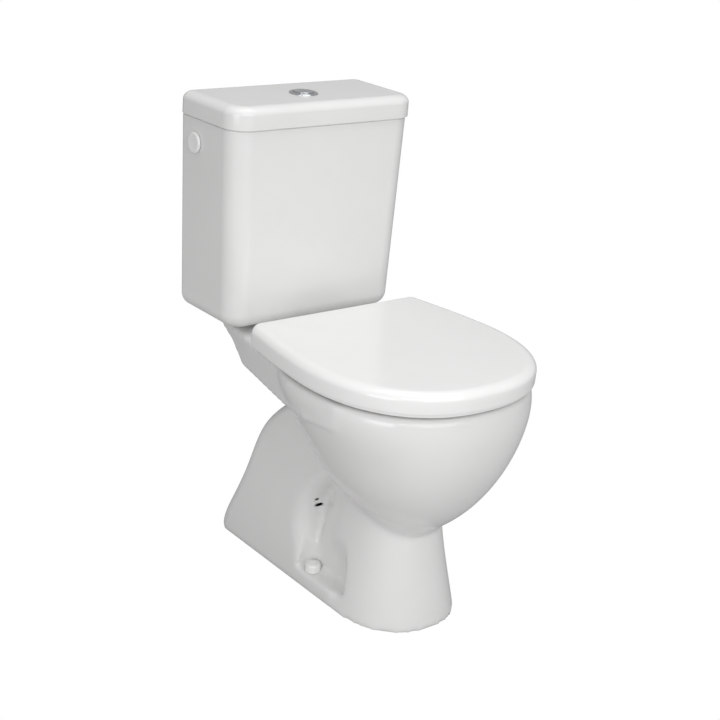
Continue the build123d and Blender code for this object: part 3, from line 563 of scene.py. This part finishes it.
dress(zinc_steel, "full_flush_spring", "half_flush_spring")

# ------------------------------------------------------------------ seat hinges
# Each hinge is a moulded post bolted through the shelf, with a steel pin that the ring's and the
# cover's lugs turn on. Soft washers keep the post off the glaze.

dress(white_nylon, "hinge_posts", "hinge_wing_nuts")
dress(zinc_steel, "hinge_pins", "hinge_bolts")
dress(silicone, "hinge_gaskets", "hinge_cone_washers")

# ------------------------------------------------------------------ seat ring
# Compression-moulded thermoset plastic, heavy and hard. Its top is dished towards the hole, its
# outer edge is rounded, and two lugs at the back take the hinge pins.
SEAT_WIDEST = 395 * MM
SEAT_CENTRE = 410 * MM
SEAT_TAPER = 0.13
SEAT_CORNER = 14 * MM
RING_HALF = 186.5 * MM
RING_FRONT = 600 * MM
RING_REAR = 243 * MM
RING_LOW = 404 * MM
RING_HIGH = 425 * MM
HOLE = (115 * MM, 545 * MM, 268 * MM, 405 * MM)
EYE_R = 10 * MM
ARM_LENGTH = 38 * MM
ARM_REACH = 40 * MM
PIN_HOLE_R = 4.1 * MM
EGG_POWER = 2.3
NOSE_STEPS = 30
SIDE_STEPS = 8
REAR_STEPS = 6
SIDE_EASE = 1.5

# Thermoset seat plastic: the whitest surface of the toilet, with a deep polished skin.
seat_plastic = grained("polished_thermoset", ("#F3F3F2", "#F7F7F6"), 80, (0.10, 0.15), 30, 0.03,
                       {"IOR": 1.55})


def seat_ring_at(z, half_width, front, rear, corner):
    """Level outline of the seat: an egg-shaped front, sides that close in, and a straight rear edge."""
    nose = front - SEAT_WIDEST
    run = SEAT_WIDEST - rear
    pinch = SEAT_TAPER * run
    half = []
    for step in range(NOSE_STEPS + 1):
        angle = pi / 2 * step / NOSE_STEPS
        half.append((half_width * sin(angle) ** (2 / EGG_POWER),
                     SEAT_WIDEST + nose * cos(angle) ** (2 / EGG_POWER)))
    for step in range(1, SIDE_STEPS + 1):
        share = (1 - corner / run) * step / SIDE_STEPS
        half.append((half_width - pinch * share ** SIDE_EASE, SEAT_WIDEST - run * share))
    edge = half[-1][0]
    for step in range(1, CORNER_STEPS // 2 + 1):
        angle = pi * step / CORNER_STEPS
        half.append((edge - corner * (1 - cos(angle)), rear + corner * (1 - sin(angle))))
    inner_x = half[-1][0]
    for step in range(1, REAR_STEPS + 1):
        half.append((inner_x * (1 - step / REAR_STEPS), rear))
    other = [(-x, depth) for x, depth in half[1:-1]]
    return [Vector((x, WALL_Y - depth, z)) for x, depth in half + other[::-1]]


def hole_ring(outside, z, grow):
    """The seat's egg-shaped hole, with one point inwards of each point of the outside."""
    half_width, front, rear, widest = HOLE
    ring = []
    for spot in outside:
        x, along = spot.x, spot.y - (WALL_Y - widest)
        reach = (widest - rear if along > 0 else front - widest) + grow
        stretch = (abs(x) / (half_width + grow)) ** EGG_POWER + (abs(along) / reach) ** EGG_POWER
        scale = stretch ** (-1 / EGG_POWER)
        ring.append(Vector((x * scale, WALL_Y - widest + along * scale, z)))
    return ring


def between(first, second, share, z):
    """Ring part of the way from one ring to another, at its own height."""
    return [Vector((*(a.lerp(b, share)).xy, z)) for a, b in zip(first, second)]


def hinge_lugs(piece, low_x, high_x, low_z, high_z):
    """Joins a pair of lugs to a seat part: a drilled eye on the hinge line with an arm running forward."""
    pin_low, pin_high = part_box("hinge_pins")
    axis_y, axis_z = (pin_low.y + pin_high.y) / 2, (pin_low.z + pin_high.z) / 2
    middle_x = (low_x + high_x) / 2
    for side in (-1, 1):
        bpy.ops.object.select_all(action="DESELECT")
        bpy.ops.mesh.primitive_cylinder_add(vertices=TURNED_STEPS, radius=EYE_R, depth=high_x - low_x,
                                            location=(side * middle_x, axis_y, axis_z),
                                            rotation=(0, pi / 2, 0))
        eye = bpy.context.object
        arm_y = axis_y - ARM_REACH + ARM_LENGTH / 2
        bpy.ops.mesh.primitive_cube_add(size=1, scale=(high_x - low_x, ARM_LENGTH, high_z - low_z),
                                        location=(side * middle_x, arm_y, (low_z + high_z) / 2))
        arm = bpy.context.object
        for part in (eye, arm):
            modify(piece, "BOOLEAN", operation="UNION", object=part, solver="EXACT")
            bpy.data.objects.remove(part)
    drill(piece, (PIN_HOLE_R, 2 * high_x + 20 * MM, (0, axis_y, axis_z), 0, 90))


def ring_level(z, out):
    """The seat ring's outer outline at a height, moved outwards."""
    return seat_ring_at(z, RING_HALF + out, RING_FRONT + out, RING_REAR - out, SEAT_CORNER + out)


outside = ring_level(RING_HIGH, -10 * MM)
levels = [hole_ring(outside, RING_LOW, 1 * MM)]
levels += [ring_level(RING_LOW + rise * MM, out * MM) for rise, out in ((0, -2.2), (0.6, -0.7), (2, 0))]
levels += [ring_level(z, inset) for inset, z in arc((-8 * MM, RING_HIGH - 6 * MM), (8 * MM, 6 * MM), 0, 80)]
hole_edge = hole_ring(outside, 0, 4 * MM)
levels += [between(outside, hole_edge, share, RING_HIGH - dip * MM)
           for share, dip in ((0.15, 0.1), (0.35, 0.9), (0.6, 2.1), (0.85, 3.1))]
for angle in (0, 25, 50, 75, 90):
    grow = (5 - 5 * sin(radians(angle))) * MM
    levels.append(hole_ring(outside, RING_HIGH - (3.6 + 5 * (1 - cos(radians(angle)))) * MM, grow))
ring = raise_rings("seat_ring_moulding", levels, closed=True)
hinge_lugs(ring, 87 * MM, 98 * MM, 415 * MM, RING_HIGH - 0.5 * MM)
soften(ring)
place_piece(ring, seat_plastic, "seat_ring", "seat_plastic", "seat_ring")
dress(silicone, "ring_buffers", "cover_buffers")

# ------------------------------------------------------------------ seat cover
# The same plastic, moulded as a shallow lid that drops over the ring's outer edge. Its top has a
# low crown and a broad soft roll down to a short upright side, and its rear is open for the hinges.
COVER_HALF = 193 * MM
COVER_FRONT = 606.5 * MM
COVER_REAR = 222 * MM
COVER_LOW = 411.5 * MM
COVER_CEILING = 434 * MM
COVER_HIGH = 446 * MM
COVER_SHOULDER = 444.2 * MM
COVER_WALL = 4.5 * MM
COVER_REAR_ROLL = 0.17
MOUTH_HALF = 104 * MM
MOUTH_REACH = 13 * MM
MOUTH_HIGH = 436 * MM


def cover_level(z, out, rear_share=1.0):
    """The cover's outline at a height, moved outwards; its rear edge moves inwards by a share of that."""
    return seat_ring_at(z, COVER_HALF + out, COVER_FRONT + out, COVER_REAR - min(out, 0) * rear_share,
                        max(SEAT_CORNER + out, 5 * MM))


middle = [Vector((0, WALL_Y - SEAT_CENTRE, 0))] * len(outside)
brim = cover_level(0, -10 * MM)
skin = [between(brim, middle, share, COVER_CEILING) for share in (0.97, 0.6, 0.2)]
skin += [cover_level(COVER_CEILING, -9.5 * MM), cover_level(COVER_CEILING - 2 * MM, -5.5 * MM),
         cover_level(COVER_CEILING - 5 * MM, -COVER_WALL), cover_level(COVER_LOW + 1 * MM, -COVER_WALL),
         cover_level(COVER_LOW, -COVER_WALL + 1 * MM), cover_level(COVER_LOW, -1.2 * MM),
         cover_level(COVER_LOW + 0.5 * MM, -0.3 * MM), cover_level(COVER_LOW + 2 * MM, 0),
         cover_level(424 * MM, 0.4 * MM), cover_level(430 * MM, 0.5 * MM)]
skin += [cover_level(z, inset, COVER_REAR_ROLL) for inset, z in
         arc((-17.5 * MM, 430 * MM), (18 * MM, COVER_SHOULDER - 430 * MM), 12, 86, 10)]
skin_edge = skin[-1]
crown = COVER_HIGH - skin_edge[0].z
skin += [between(skin_edge, middle, share, COVER_HIGH - crown * (1 - share) ** 2)
         for share in (0.06, 0.14, 0.25, 0.4, 0.55, 0.7, 0.85, 0.97)]
cover = raise_rings("seat_cover_moulding", skin)
bpy.ops.object.select_all(action="DESELECT")
MOUTH_LOW = COVER_LOW - 1 * MM
bpy.ops.mesh.primitive_cube_add(size=1, scale=(2 * MOUTH_HALF, 2 * MOUTH_REACH, MOUTH_HIGH - MOUTH_LOW),
                                location=(0, WALL_Y - COVER_REAR, (MOUTH_HIGH + MOUTH_LOW) / 2))
mouth = bpy.context.object
modify(cover, "BOOLEAN", operation="DIFFERENCE", object=mouth, solver="EXACT")
bpy.data.objects.remove(mouth)
hinge_lugs(cover, 57 * MM, 68 * MM, COVER_CEILING - 8 * MM, COVER_CEILING + 3 * MM)
soften(cover)
place_piece(cover, seat_plastic, "seat_cover", "seat_plastic", "seat_cover")
